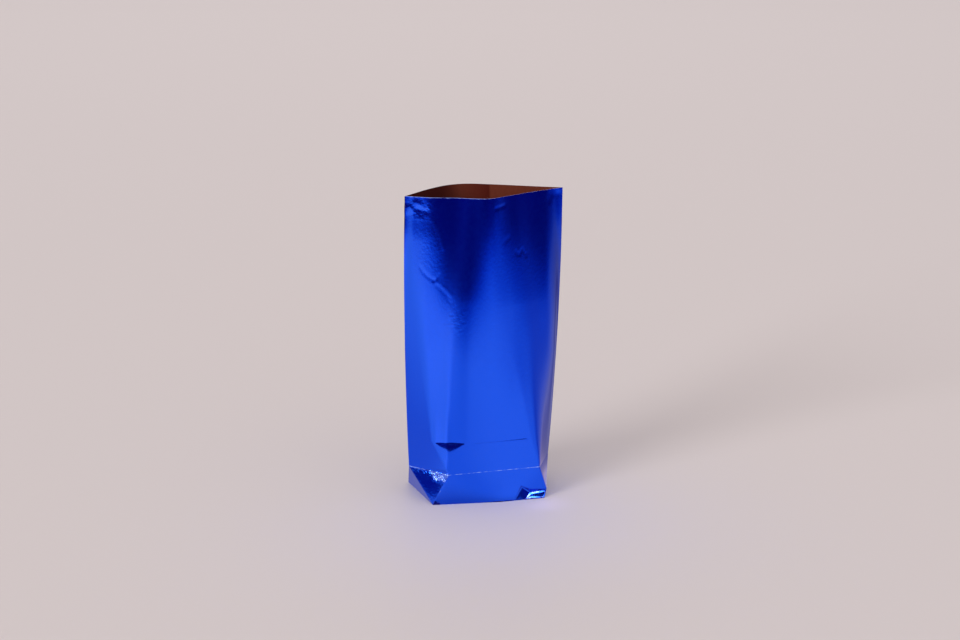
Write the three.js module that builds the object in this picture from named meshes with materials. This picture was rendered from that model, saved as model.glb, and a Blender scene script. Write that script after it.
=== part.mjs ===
// Praline bag: an empty, open block-bottom bag folded from one sheet of foil-faced paper.
// Millimetres, +Z up. The bag stands on z = 0 with its front towards -Y, and its two side folds lie along X.
import * as THREE from "three";

// Sizes of the standing bag
const BAG_HEIGHT = 190;
const CREASE_HEIGHT = 20; // the crease across the front, half the depth of the base
const WALL = 0.5;

// Mouth seen from above: a lens with one soft bend in front and two behind
const MOUTH_LEFT_FOLD = [-46.1, -1.3];
const MOUTH_FRONT_BEND = [0.3, -24.4];
const MOUTH_RIGHT_FOLD = [52.1, -1.2];
const MOUTH_BACK_BEND = [-7.3, 28.8];
const MOUTH_BACK_LEFT_BEND = [-27, 15.6];
const MOUTH_SOFTNESS = 15; // half-length of the curve that replaces each bend

// Section at the crease seen from above: six-sided, with the side folds as its two points
const CREASE_LEFT_FOLD = [-45.2, -1.3];
const CREASE_FRONT_LEFT = [-25.5, -23.4];
const CREASE_FRONT_RIGHT = [32.6, -23.8];
const CREASE_RIGHT_FOLD = [45.1, 0];
const CREASE_BACK_RIGHT = [31, 23.6];
const CREASE_BACK_LEFT = [-28, 23.8];
const EDGE_SOFTNESS = 1.2; // at the crease
const EDGE_SOFTENING = 22; // added on the way up to the mouth, as the square of the height

// Side folds bow outwards between crease and mouth
const LEFT_BOW = 1.2;
const RIGHT_BOW = 1.7;

// Base on the floor: the front edge bows out towards a bulged corner at the right
const BASE_FRONT_LEFT = [-34.6, -18.8];
const BASE_FRONT_MIDDLE = [7.1, -24.2];
const BASE_FRONT_BULGE = [34.9, -25.1];
const BASE_FRONT_RIGHT = [40.8, -12.4];
const BASE_BACK_RIGHT = [38.6, 20.5];
const BASE_BACK_LEFT = [-40.4, 22.2];

// Dent across the left front edge: a steep side below its valley line and a long slope above
const DENT_DEPTH = 2.2;
const DENT_FROM_LEFT_FOLD = 31;
const DENT_HALF_LENGTH = 12;
const DENT_FOOT = 35.5;
const DENT_VALLEY = 40.5;
const DENT_TOP = 66;
const DENT_PUSH = new THREE.Vector2(0.35, 0.94); // inwards, square to the left front edge

// Facets
const CORNER_CELLS = 1;
const SIDE_CELLS = 6;
const FACE_CELLS = 14;
const LEVELS = [20, 28, 35.5, 40.5, 47, 56, 66, 78, 90, 102, 114, 126, 138, 150, 160, 170, 180, 190];
const SAME_POINT = 1e-5;

const vector2 = ([x, y]) => new THREE.Vector2(x, y);
const share = (cells) => Array.from({ length: cells }, (_, i) => i / cells);

// A bend taken as a parabola: nothing before it, the full turn after it
function softRamp(past, softness) {
  if (past <= -softness) return 0;
  if (past >= softness) return past;
  return (past + softness) ** 2 / (4 * softness);
}

// A way through corner points, given by the share of its length, with its bends softened
function walk(corners, softness) {
  const points = corners.map(vector2);
  const legs = points.slice(1).map((point, i) => point.clone().sub(points[i]));
  const lengths = legs.map((leg) => leg.length());
  const headings = legs.map((leg) => leg.clone().normalize());
  const total = lengths.reduce((sum, length) => sum + length, 0);
  const at = (part) => {
    const point = points[0].clone().addScaledVector(headings[0], part * total);
    let bend = 0;
    for (let i = 1; i < headings.length; i++) {
      bend += lengths[i - 1];
      const turn = headings[i].clone().sub(headings[i - 1]);
      point.addScaledVector(turn, softRamp(part * total - bend, softness));
    }
    return point;
  };
  return { at, total, bendParts: [lengths[0] / total, 1 - lengths.at(-1) / total] };
}

const FRONT = {
  mouth: [MOUTH_LEFT_FOLD, MOUTH_FRONT_BEND, MOUTH_RIGHT_FOLD],
  crease: [CREASE_LEFT_FOLD, CREASE_FRONT_LEFT, CREASE_FRONT_RIGHT, CREASE_RIGHT_FOLD],
  base: [BASE_FRONT_LEFT, BASE_FRONT_MIDDLE, BASE_FRONT_BULGE, BASE_FRONT_RIGHT],
  bows: [-LEFT_BOW, RIGHT_BOW],
  dented: true,
};
const BACK = {
  mouth: [MOUTH_RIGHT_FOLD, MOUTH_BACK_BEND, MOUTH_BACK_LEFT_BEND, MOUTH_LEFT_FOLD],
  crease: [CREASE_RIGHT_FOLD, CREASE_BACK_RIGHT, CREASE_BACK_LEFT, CREASE_LEFT_FOLD],
  base: [BASE_BACK_RIGHT, BASE_BACK_LEFT],
  bows: [RIGHT_BOW, -LEFT_BOW],
  dented: false,
};

// How far a point of the front is pushed in by the dent
function dentAt(along, height) {
  const acrossDent = 1 - Math.abs(along - DENT_FROM_LEFT_FOLD) / DENT_HALF_LENGTH;
  const below = (height - DENT_FOOT) / (DENT_VALLEY - DENT_FOOT);
  const above = (DENT_TOP - height) / (DENT_TOP - DENT_VALLEY);
  return DENT_DEPTH * Math.max(0, acrossDent) * Math.max(0, Math.min(below, above));
}

// Point of a panel at a share of its width and a height between crease and mouth
function panelPoint(panel, part, height) {
  const up = (height - CREASE_HEIGHT) / (BAG_HEIGHT - CREASE_HEIGHT);
  const crease = walk(panel.crease, EDGE_SOFTNESS + EDGE_SOFTENING * up ** 2);
  const point = crease.at(part).lerp(walk(panel.mouth, MOUTH_SOFTNESS).at(part), up);
  point.x += THREE.MathUtils.lerp(...panel.bows, part) * 4 * up * (1 - up);
  if (panel.dented) point.addScaledVector(DENT_PUSH, dentAt(part * crease.total, height));
  return new THREE.Vector3(point.x, point.y, height);
}

// Columns of a panel from fold to fold: where each meets the base, and its share of the panel's width.
// The corner triangles meet the side folds in one point, and the side facets meet the base in one point.
function panelColumns(panel, fromMiddle, toMiddle) {
  const base = walk(panel.base, EDGE_SOFTNESS);
  const [first, last] = [base.at(0), base.at(1)];
  const [left, right] = walk(panel.crease, EDGE_SOFTNESS).bendParts;
  const column = (foot, part) => ({ panel, foot, part });
  return [
    ...share(CORNER_CELLS).map((t) => column(fromMiddle.clone().lerp(first, t), 0)),
    ...share(SIDE_CELLS).map((t) => column(first, t * left)),
    ...share(FACE_CELLS).map((t) => column(base.at(t), THREE.MathUtils.lerp(left, right, t))),
    ...share(SIDE_CELLS).map((t) => column(last, THREE.MathUtils.lerp(right, 1, t))),
    ...share(CORNER_CELLS).map((t) => column(last.clone().lerp(toMiddle, t), 1)),
  ];
}

const leftMiddle = vector2(BASE_FRONT_LEFT).lerp(vector2(BASE_BACK_LEFT), 0.5);
const rightMiddle = vector2(BASE_FRONT_RIGHT).lerp(vector2(BASE_BACK_RIGHT), 0.5);
const columns = [
  ...panelColumns(FRONT, leftMiddle, rightMiddle),
  ...panelColumns(BACK, rightMiddle, leftMiddle),
];

const footRing = columns.map(({ foot }) => new THREE.Vector3(foot.x, foot.y, 0));
const outerRings = [
  footRing,
  ...LEVELS.map((height) => columns.map(({ panel, part }) => panelPoint(panel, part, height))),
];

// The next point of a ring that is not the same point
function neighbour(ring, index, step) {
  let i = index;
  do i = (i + step + ring.length) % ring.length;
  while (ring[i].distanceTo(ring[index]) < SAME_POINT);
  return ring[i];
}

// A ring moved inwards by the wall, each side square to itself
function inset(ring, height) {
  return ring.map((point, i) => {
    const [before, after] = [neighbour(ring, i, -1), neighbour(ring, i, 1)];
    const sides = [point.clone().sub(before), after.clone().sub(point)];
    const normals = sides.map(({ x, y }) => new THREE.Vector2(-y, x).normalize());
    const miter = normals[0].clone().add(normals[1]).divideScalar(1 + normals[0].dot(normals[1]));
    return new THREE.Vector3(point.x + miter.x * WALL, point.y + miter.y * WALL, height);
  });
}
const innerRings = outerRings.map((ring) => inset(ring, Math.max(ring[0].z, WALL)));

// Triangles over shared points, leaving out those that have shrunk to a line
const points = [];
const pointIndex = new Map();
const triangles = [];

function indexOf(point) {
  const key = point.toArray().map((value) => Math.round(value / SAME_POINT)).join();
  if (!pointIndex.has(key)) {
    pointIndex.set(key, points.length);
    points.push(point);
  }
  return pointIndex.get(key);
}

function addTriangle(...corners) {
  const [a, b, c] = corners.map(indexOf);
  if (a !== b && b !== c && c !== a) triangles.push(a, b, c);
}

function joinRings(lower, upper) {
  lower.forEach((point, i) => {
    const next = (i + 1) % lower.length;
    addTriangle(point, lower[next], upper[next]);
    addTriangle(point, upper[next], upper[i]);
  });
}

// A flat floor over a ring that nowhere bends inwards
function closeRing(ring) {
  ring.slice(1).forEach((point, i) => addTriangle(ring[0], ring[i], point));
}

outerRings.slice(1).forEach((ring, i) => joinRings(outerRings[i], ring));
joinRings(outerRings.at(-1), innerRings.at(-1));
innerRings.slice(1).forEach((ring, i) => joinRings(ring, innerRings[i]));
closeRing(innerRings[0]);
closeRing([...footRing].reverse());

const shell = new THREE.BufferGeometry().setFromPoints(points);
shell.setIndex(triangles);
shell.computeVertexNormals();

const foilPaper = new THREE.MeshStandardMaterial({ color: 0x2355e0, metalness: 0.9, roughness: 0.3 });
const bag = new THREE.Mesh(shell, foilPaper);
bag.name = "bag";

const pralineBag = new THREE.Group();
pralineBag.add(bag);

export default pralineBag;
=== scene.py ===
import math

import bpy
import numpy as np
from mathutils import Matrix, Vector


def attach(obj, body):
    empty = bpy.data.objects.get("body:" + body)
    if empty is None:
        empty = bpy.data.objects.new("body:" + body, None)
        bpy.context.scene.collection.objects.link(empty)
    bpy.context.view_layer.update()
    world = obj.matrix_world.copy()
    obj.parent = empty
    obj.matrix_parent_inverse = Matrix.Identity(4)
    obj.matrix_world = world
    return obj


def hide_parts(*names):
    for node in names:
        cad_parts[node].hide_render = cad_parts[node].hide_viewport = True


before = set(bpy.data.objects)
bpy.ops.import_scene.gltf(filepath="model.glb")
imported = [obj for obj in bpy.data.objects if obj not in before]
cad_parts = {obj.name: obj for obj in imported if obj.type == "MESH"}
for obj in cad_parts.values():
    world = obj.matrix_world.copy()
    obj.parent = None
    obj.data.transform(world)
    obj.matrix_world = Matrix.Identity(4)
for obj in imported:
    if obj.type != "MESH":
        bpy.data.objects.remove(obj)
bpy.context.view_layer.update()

MM = 0.001
FULL_TURN = 2 * math.pi
NEVER_ZERO = 1e-9

# Sizes of the standing bag
BAG_HEIGHT = 190.0
CREASE_HEIGHT = 20.0
PAPER = 0.14
BASE_LIFT = 0.45  # the base panel lies on the flaps glued under it

# Mouth seen from above
MOUTH_LEFT_FOLD = (-46.1, -1.3)
MOUTH_FRONT_BEND = (0.3, -24.4)
MOUTH_RIGHT_FOLD = (52.1, -1.2)
MOUTH_BACK_BEND = (-7.3, 28.8)
MOUTH_BACK_LEFT_BEND = (-27.0, 15.6)
MOUTH_SOFTNESS = 15.0
MOUTH_BACK_LEFT_SOFTNESS = 6.0

# Section at the crease seen from above
CREASE_LEFT_FOLD = (-45.2, -1.3)
CREASE_FRONT_LEFT = (-25.5, -23.4)
CREASE_FRONT_RIGHT = (32.6, -23.8)
CREASE_RIGHT_FOLD = (45.1, 0.0)
CREASE_BACK_RIGHT = (31.0, 23.6)
CREASE_BACK_LEFT = (-28.0, 23.8)

# Edges between front and sides: sharp at the crease, round at the mouth
EDGE_SOFTNESS = 1.2
EDGE_SOFTENING = 22.0  # added on the way up, by a power of the height
LEFT_EDGE_POWER = 3
RIGHT_EDGE_POWER = 2
RIGHT_EDGE_SOFTNESS = 4.0
RIGHT_EDGE_ROUNDING = 22.0  # height above the crease over which the right edge gets round
RIGHT_EDGE_SOFTENING = 60.0  # added at half height, with its own power on the way up
RIGHT_EDGE_MIDDLE_POWER = 1.5

# Side folds bow outwards between crease and mouth
LEFT_BOW = 1.2
RIGHT_BOW = 1.7

# Base on the floor
BASE_FRONT_LEFT = (-34.5, -19.6)
BASE_FRONT_MIDDLE = (7.1, -25.4)
BASE_FRONT_BULGE = (34.8, -26.1)
BASE_FRONT_RIGHT = (38.8, -16.5)
BASE_BACK_RIGHT = (38.6, 20.5)
BASE_BACK_LEFT = (-40.4, 22.2)

# The crushed corner sticks out at the right end of the strip, a little above the floor
STUB_PLACE = (36.8, -24.8)
STUB_HEIGHT = 5.5
STUB_REACH = 16.0

# Mesh steps
CORNER_CELLS = 8
NEAR_SIDE_CELLS = 52
FAR_SIDE_CELLS = 16
FRONT_CELLS = (48, 58)  # left and right of the place where the crushed corner starts
CRUSH_START = 0.7
BACK_CELLS = 44

# Bands of rows, first from the floor to the crease and then from there to the mouth: start, end and step.
# The rows lie close together where the paper is folded, dented or crumpled.
STRIP_BANDS = ((0, 9, 0.45), (9, 14, 0.85), (14, 19.9, 0.45))
BODY_BANDS = (
    (20, 24, 0.45), (24, 33, 1.5), (33, 38.5, 0.65), (38.5, 41.5, 0.4), (41.5, 46, 0.75),
    (46, 106, 3.2), (106, 150, 1.1), (150, 176, 1.4), (176, 189, 0.9))
LAST_ROWS = [189.4, BAG_HEIGHT]
STRIP_HEIGHTS = np.concatenate([np.arange(*band) for band in STRIP_BANDS])
BODY_HEIGHTS = np.concatenate([np.arange(*band) for band in BODY_BANDS] + [LAST_ROWS])


# Walks round the bag

def legs_of(corners):
    legs = np.diff(np.array(corners), axis=0)
    lengths = np.linalg.norm(legs, axis=1)
    return lengths, legs / lengths[:, None]


def soft_ramp(past, softness):
    """A bend taken as a parabola: nothing before it, the full turn after it."""
    inside = (past + softness) ** 2 / (4 * softness)
    return np.where(past <= -softness, 0, np.where(past >= softness, past, inside))


def walk(corners, part, softnesses):
    """Points at shares of the way through the corners, with each bend softened by its own amount."""
    lengths, headings = legs_of(corners)
    along = part * lengths.sum()
    points = np.array(corners[0]) + along[..., None] * headings[0]
    for bend, before, after, softness in zip(np.cumsum(lengths), headings, headings[1:], softnesses):
        points = points + soft_ramp(along - bend, softness)[..., None] * (after - before)
    return points


def even(cells):
    return np.arange(cells) / cells


FRONT = {
    "mouth": [MOUTH_LEFT_FOLD, MOUTH_FRONT_BEND, MOUTH_RIGHT_FOLD],
    "crease": [CREASE_LEFT_FOLD, CREASE_FRONT_LEFT, CREASE_FRONT_RIGHT, CREASE_RIGHT_FOLD],
    "base": [BASE_FRONT_LEFT, BASE_FRONT_MIDDLE, BASE_FRONT_BULGE],
    "base_end": BASE_FRONT_RIGHT,
    "bows": (-LEFT_BOW, RIGHT_BOW),
    "steps": (
        even(NEAR_SIDE_CELLS),
        np.concatenate([CRUSH_START * even(FRONT_CELLS[0]),
                        CRUSH_START + (1 - CRUSH_START) * even(FRONT_CELLS[1])]),
        even(FAR_SIDE_CELLS)),
    "mouth_softness": (MOUTH_SOFTNESS,),
}
BACK = {
    "mouth": [MOUTH_RIGHT_FOLD, MOUTH_BACK_BEND, MOUTH_BACK_LEFT_BEND, MOUTH_LEFT_FOLD],
    "crease": [CREASE_RIGHT_FOLD, CREASE_BACK_RIGHT, CREASE_BACK_LEFT, CREASE_LEFT_FOLD],
    "base": [BASE_BACK_RIGHT, BASE_BACK_LEFT],
    "base_end": BASE_BACK_LEFT,
    "bows": (RIGHT_BOW, -LEFT_BOW),
    "steps": (even(FAR_SIDE_CELLS), even(BACK_CELLS), even(FAR_SIDE_CELLS)),
    "mouth_softness": (MOUTH_SOFTNESS, MOUTH_BACK_LEFT_SOFTNESS),
}
LEFT_MIDDLE = (np.array(BASE_FRONT_LEFT) + np.array(BASE_BACK_LEFT)) / 2
RIGHT_MIDDLE = (np.array(BASE_FRONT_RIGHT) + np.array(BASE_BACK_RIGHT)) / 2
PANEL_WIDTH = legs_of(FRONT["crease"])[0].sum()
LEFT_EDGE = legs_of(FRONT["crease"])[0][0]
RIGHT_EDGE = PANEL_WIDTH - legs_of(FRONT["crease"])[0][-1]
BASE_FRONT_LENGTH = legs_of(FRONT["base"])[0].sum()


def height_share(height):
    """0 at the crease and 1 at the mouth."""
    return (height - CREASE_HEIGHT) / (BAG_HEIGHT - CREASE_HEIGHT)


def left_softness(height):
    return EDGE_SOFTNESS + EDGE_SOFTENING * height_share(height) ** LEFT_EDGE_POWER


def right_softness(height):
    up = height_share(height)
    rounded = smooth((height - CREASE_HEIGHT) / RIGHT_EDGE_ROUNDING)
    low = EDGE_SOFTNESS + (RIGHT_EDGE_SOFTNESS - EDGE_SOFTNESS) * rounded
    middle = RIGHT_EDGE_SOFTENING * up ** RIGHT_EDGE_MIDDLE_POWER * (1 - up)
    return low + middle + EDGE_SOFTENING * up ** RIGHT_EDGE_POWER


def body_points(panel, part, height):
    """Points of a panel between crease and mouth."""
    up = height_share(height) + 0 * part
    softnesses = (left_softness(height) + 0 * part, right_softness(height) + 0 * part)
    crease = walk(panel["crease"], part + 0 * up, softnesses)
    mouth = walk(panel["mouth"], part + 0 * up, panel["mouth_softness"])
    flat = crease + (mouth - crease) * up[..., None]
    start, end = panel["bows"]
    flat[..., 0] += (start + (end - start) * part) * 4 * up * (1 - up)
    return np.concatenate([flat, (height + 0 * part)[..., None]], axis=-1)


def panel_columns(panel, from_middle, to_middle):
    """Foot on the floor, share of the panel's width and share of the base edge of each column."""
    lengths, _ = legs_of(panel["crease"])
    left = lengths[0] / lengths.sum()
    right = 1 - lengths[-1] / lengths.sum()
    corner = even(CORNER_CELLS)
    first_side, face, last_side = panel["steps"]
    first, last, end = np.array([panel["base"][0], panel["base"][-1], panel["base_end"]])
    feet = np.concatenate([
        from_middle + (first - from_middle) * corner[:, None],
        np.tile(first, (len(first_side), 1)),
        walk(panel["base"], face, (EDGE_SOFTNESS,)),
        last + (end - last) * last_side[:, None],
        end + (to_middle - end) * corner[:, None]])
    parts = np.concatenate([
        0 * corner, left * first_side, left + (right - left) * face,
        right + (1 - right) * last_side, 1 + 0 * corner])
    edge = np.concatenate([
        0 * corner - 1, 0 * first_side - 1, face, np.where(last_side > 0, -1, 1), 0 * corner - 1])
    return feet, parts, edge


# Relief of the handled paper, outwards from the plain folded shape.
# u runs over the front from the left side fold, v is the height, s runs along the foot of the front.

def smooth(x):
    x = np.clip(x, 0, 1)
    return x * x * (3 - 2 * x)


def tent(x, start, top, end):
    """0 up to start, 1 at top, 0 from end on, straight between."""
    return np.clip(np.minimum((x - start) / (top - start), (end - x) / (end - top)), 0, 1)


def patch(u, v, middle, reach):
    """1 in the middle of an oval, falling softly to 0 at its edge."""
    away = ((u - middle[0]) / reach[0]) ** 2 + ((v - middle[1]) / reach[1]) ** 2
    return np.clip(1 - away, 0, 1) ** 2


def fold(u, v, points, left_reach, right_reach):
    """1 on a line through points, falling evenly to 0 over its reach on either side of the way along it."""
    height = 0 * (u + v)
    for (u0, v0), (u1, v1) in zip(points, points[1:]):
        run_u, run_v = u1 - u0, v1 - v0
        along = np.clip(((u - u0) * run_u + (v - v0) * run_v) / (run_u ** 2 + run_v ** 2), 0, 1)
        off_u, off_v = u - u0 - along * run_u, v - v0 - along * run_v
        reach = np.where(run_u * off_v > run_v * off_u, left_reach, right_reach)
        height = np.maximum(height, 1 - np.hypot(off_u, off_v) / reach)
    return height


WAVE_DIRECTIONS = 7
WAVE_SIZES = (0.7, 1.6)  # shortest and longest wave, as shares of the named length


def waves(u, v, length, seed, folded):
    """Waves of about one length in scattered directions; folded ones are straight-sided."""
    rng = np.random.default_rng(seed)
    total = 0 * (u + v)
    for _ in range(WAVE_DIRECTIONS):
        heading = rng.uniform(0, FULL_TURN)
        size = length * rng.uniform(*WAVE_SIZES)
        phase = (u * math.cos(heading) + v * math.sin(heading)) / size + rng.uniform(0, 1)
        total = total + (4 * np.abs(phase % 1 - 0.5) - 1 if folded else np.sin(FULL_TURN * phase))
    return total / WAVE_DIRECTIONS


def crumples(u, v, places):
    """Relief of crumpled places, each with height, middle, reach, wave length, seed and whether folded."""
    return sum(height * patch(u, v, middle, reach) * waves(u, v, length, seed, folded)
               for height, middle, reach, length, seed, folded in places)


def patches(u, v, places):
    """Soft ovals added up, each with its height or share, middle and reach."""
    return sum(most * patch(u, v, middle, reach) for most, middle, reach in places)


# Dent across the left front edge: a steep side below its valley and a long slope above
DENT_DEPTH = 1.3
DENT_MIDDLE = 30.5
DENT_HALF_LENGTH = 9.6
DENT_VALLEY = 39.2
DENT_ARCH = 0.85  # the valley lies this much higher in the middle
DENT_DROP = 7.9
DENT_SLOPE = 26.0
DENT_ENDS = 1.3  # power of its outline: 1 has pointed ends, 2 round ones
DENT_DROP_CURVE = 2.4  # powers of the sides below and above: steep at the valley, easing out from it
DENT_SLOPE_CURVE = 1.5
DENT_LEFT_SHARE = 0.55  # the part left of the edge is shallower
DENT_LEFT_END = (26.5, 31.0)  # over which it gets as deep as the right part


def dent(u, v):
    reach = np.clip(1 - np.abs((u - DENT_MIDDLE) / DENT_HALF_LENGTH) ** DENT_ENDS, 0, 1)
    valley = DENT_VALLEY + DENT_ARCH * reach
    drop = DENT_DROP * np.maximum(reach, NEVER_ZERO)
    below = np.clip(1 - (valley - v) / drop, 0, 1) ** DENT_DROP_CURVE
    above = np.clip(1 - (v - valley) / DENT_SLOPE, 0, 1) ** DENT_SLOPE_CURVE
    right_part = smooth((u - DENT_LEFT_END[0]) / (DENT_LEFT_END[1] - DENT_LEFT_END[0]))
    depth = DENT_DEPTH * (DENT_LEFT_SHARE + (1 - DENT_LEFT_SHARE) * right_part)
    return -depth * reach * np.where(v < valley, below, above)


# A flat beside the left front edge, which starts in a point at the crease, widens upwards and fades
FLAT_WIDTH = 11.2
FLAT_STAND = 1.5  # how far its outer border stands out
FLAT_FULL_HEIGHT = 40.0  # width and stand grow up to here, each by a power of the height
FLAT_WIDTH_POWER = 1.3
FLAT_STAND_POWER = 0.55
FLAT_WIDENING = 0.1  # for each millimetre above
FLAT_SOFTENING = 0.06
FLAT_FADE = (95.0, 178.0)


def edge_flat(u, v):
    grown = np.clip((v - CREASE_HEIGHT) / (FLAT_FULL_HEIGHT - CREASE_HEIGHT), NEVER_ZERO, 1)
    faded = 1 - smooth((v - FLAT_FADE[0]) / (FLAT_FADE[1] - FLAT_FADE[0]))
    above = np.clip(v - FLAT_FULL_HEIGHT, 0, FLAT_FADE[1] - FLAT_FULL_HEIGHT)
    top = LEFT_EDGE - FLAT_WIDTH * grown ** FLAT_WIDTH_POWER - FLAT_WIDENING * above
    turn = 1 / top + 1 / (LEFT_EDGE - top)
    softness = NEVER_ZERO + FLAT_SOFTENING * above
    back_in = soft_ramp(u - LEFT_EDGE, softness) / (LEFT_EDGE - top)
    shape = u / top - turn * soft_ramp(u - top, softness) + back_in
    return FLAT_STAND * grown ** FLAT_STAND_POWER * faded * shape


# Beside its left edge the front bends round softly, so the edge itself lies a little back
SHOULDER = 1.3
SHOULDER_WIDTH = 13.0
SHOULDER_START = 34.0
SHOULDER_RISE = 36.0


def shoulder(u, v):
    past = u - LEFT_EDGE
    share = np.where(past > 0, np.clip(1 - past / SHOULDER_WIDTH, 0, 1) ** 2, u / LEFT_EDGE)
    turn = 1 / LEFT_EDGE + 2 / SHOULDER_WIDTH
    share = share - turn * (soft_ramp(past, left_softness(v)) - np.maximum(past, 0))
    return -SHOULDER * share * smooth((v - SHOULDER_START) / SHOULDER_RISE)


# Slack of the front. Some of it bellies out or sinks at half height: place along the front, half-width and
# how far it stands out. Some leans out or in from a height on: also the heights where that starts and ends.
# What leans out stands upright again at its end, what leans in leans most there.
BELLIES = [(37.5, 8.5, 0.9), (67.0, 17.0, -1.2), (105.0, 10.0, 2.3)]
RIM_LEANS = [
    (18.0, 13.0, 1.7, 105.0, 188.0), (23.5, 6.0, -0.85, 158.0, BAG_HEIGHT),
    (32.0, 6.0, -1.0, 100.0, BAG_HEIGHT), (39.0, 11.0, -2.1, 127.0, BAG_HEIGHT),
    (55.0, 6.5, 0.45, 123.0, BAG_HEIGHT), (69.0, 9.0, -1.6, 123.0, BAG_HEIGHT),
    (88.0, 15.0, -2.35, 123.0, BAG_HEIGHT)]
LEAN_IN_POWER = 1.5
FOLD_STIFFNESS = 6.0  # the slack dies away this near the side folds


def bell(x, middle, half_width):
    return np.exp(-((x - middle) / half_width) ** 2)


def slack(u, v):
    up = np.clip(height_share(v), 0, 1)
    belly = sum(stand * bell(u, middle, reach) for middle, reach, stand in BELLIES)
    lean = 0
    for middle, reach, stand, start, end in RIM_LEANS:
        rise = np.clip((v - start) / (end - start), 0, 1)
        leaning = smooth(rise) if stand > 0 else rise ** LEAN_IN_POWER
        lean = lean + stand * bell(u, middle, reach) * leaning
    held = smooth(u / FOLD_STIFFNESS) * smooth((PANEL_WIDTH - u) / FOLD_STIFFNESS)
    return held * (belly * np.sin(math.pi * up) ** 2 + lean)


# Small folds of the front: points on the paper, height, reach to the left and right of the way along them.
# The soft ones are round, the others have straight sides and a sharp line.
SOFT_FOLDS = [
    # crumple below the rim at the left
    ([(13.4, 181.4), (11, 181.4), (8.2, 182.6)], -0.17, 3.5, 3.6),
    ([(0.5, 182.2), (4.5, 182.4), (7.6, 185.4)], 0.13, 4.0, 4.4),
]
FRONT_FOLDS = [
    # hook-shaped wrinkle and the two streaks that run on from it
    ([(10.5, 147.5), (12.4, 144.6), (15.7, 141.8), (19.4, 139.8)], -0.06, 1.8, 1.1),
    ([(19.4, 139.8), (21.3, 140.6), (22.9, 143.5)], -0.06, 1.5, 1.1),
    ([(21.2, 139.0), (25.4, 136.5), (31.1, 131.5)], 0.03, 1.8, 1.6),
    ([(21.7, 136.8), (26.2, 133.0), (30.6, 126.5)], -0.025, 1.8, 1.8),
    # small mark below the rim and the ticks under it
    ([(60, 183.4), (64, 183.9), (68, 184.6)], -0.09, 1.8, 1.4),
    ([(66.0, 162.5), (71.0, 165.2)], -0.05, 1.4, 1.4),
    ([(75.2, 155.2), (77.7, 153.8), (80.7, 156.5), (83.5, 152.2)], -0.07, 1.2, 1.2),
    # facet at the right tip of the mouth and the pressed line beside the right side fold
    ([(106.4, 191.0), (105.6, 186.2), (103.9, 182.5)], -0.1, 1.4, 3.0),
    ([(109.8, 100.0), (110.2, 186.0)], -0.42, 9.3, 3.6),
    # ridge along the edge of the light place at the left
    ([(18, 177), (23, 169), (25.5, 160)], 0.05, 2.0, 2.0),
    # short tail under the dent and two nicks above the left end of the crease
    ([(31.5, 35.3), (31.5, 33.6)], -0.05, 2.5, 2.5),
    ([(2.2, 26.5), (4.4, 22.5)], 0.12, 1.0, 1.0),
    ([(5.2, 25.0), (7.4, 22.0)], 0.1, 1.0, 1.0),
    # second, fainter line above the crease
    ([(46, 38.3), (79, 38.3)], 0.105, 0.8, 1.5),
]

# The whole front is wavy, with a wide hollow and some crumpled places at the left
FRONT_WAVES = (0.15, 50, 3)  # height, length and seed
FRONT_HOLLOWS = [(-0.38, (10, 186), (20, 23))]  # height, middle and reach
FRONT_CRUMPLES = [  # height, middle, reach, wave length, seed and whether folded
    (0.11, (9, 183), (15, 9), 4.0, 37, True), (0.022, (20, 162), (20, 36), 3.0, 11, False),
    (0.05, (35, 116), (9, 12), 3.2, 13, True)]
FRONT_FINE_CRUMPLES = [  # share of fine facets in the foil, middle and reach
    (0.2, (10, 183), (16, 10)), (0.07, (20, 162), (20, 36)), (0.1, (34, 116), (10, 14)),
    (0.04, (74, 150), (34, 34))]
CREASE_STIFFNESS = 3.0  # the relief above the crease grows over this height
CORNER_FINE_CRUMPLES = 0.15  # share of fine facets on the left corner triangle
CORNER_CREASE_FADE = 2.0
CORNER_FOOT_FADE = 6.0


def front_body_relief(u, v):
    dented = dent(u, v)
    relief = dented + edge_flat(u, v) * (1 + dented / DENT_DEPTH) + shoulder(u, v) + slack(u, v)
    relief = relief + patches(u, v, FRONT_HOLLOWS)
    for points, height, left_reach, right_reach in SOFT_FOLDS:
        relief = relief + height * smooth(fold(u, v, points, left_reach, right_reach))
    for points, height, left_reach, right_reach in FRONT_FOLDS:
        relief = relief + height * fold(u, v, points, left_reach, right_reach)
    height, length, seed = FRONT_WAVES
    relief = relief + height * waves(u, v, length, seed, False) + crumples(u, v, FRONT_CRUMPLES)
    return relief * smooth((v - CREASE_HEIGHT) / CREASE_STIFFNESS)


def crumpled_share(u, v):
    """How strongly the foil of the front is crumpled in fine facets, from 0 to 1."""
    below_crease = smooth((CREASE_HEIGHT - v) / CORNER_CREASE_FADE)
    on_corner = (u < LEFT_EDGE) * below_crease * smooth(v / CORNER_FOOT_FADE)
    share = patches(u, v, FRONT_FINE_CRUMPLES) + CORNER_FINE_CRUMPLES * on_corner
    return np.clip(share + corner_crumple_share(u, v), 0, 1)


# Where the foil is painted pale, from 0 to 1, and over which reach: lacquer rubbed off at the rim, a paler
# line along the crease, and painted highlights on the strip's left fold, the crumpled corner and the curl
RIM_WEAR = 0.55
RIM_WEAR_HEIGHT = 189.2
RIM_WEAR_EASE = 0.6
LEFT_RIM_WEAR = 0.3  # added at the left
LEFT_RIM_END = 75.0
LEFT_RIM_EASE = 30.0
# A paler broken line along the crease, paler still along the left corner's part of it, and its reach
CREASE_PALE = 0.68
LEFT_CREASE_PALE = 0.8
CREASE_PALE_REACH = 0.6
# Painted highlight along the left fold of the strip, pale like rubbed lacquer, and its reach
LEFT_FOLD_HIGHLIGHT = 0.45
LEFT_FOLD_HIGHLIGHT_REACH = 1.1
# Painted glints: how pale the crumpled left corner is painted where its facets sparkle
CRUMPLE_GLINTS = 0.6
# Painted highlight on the curl of the crushed right corner
CURL_HIGHLIGHT = 0.52


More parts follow.
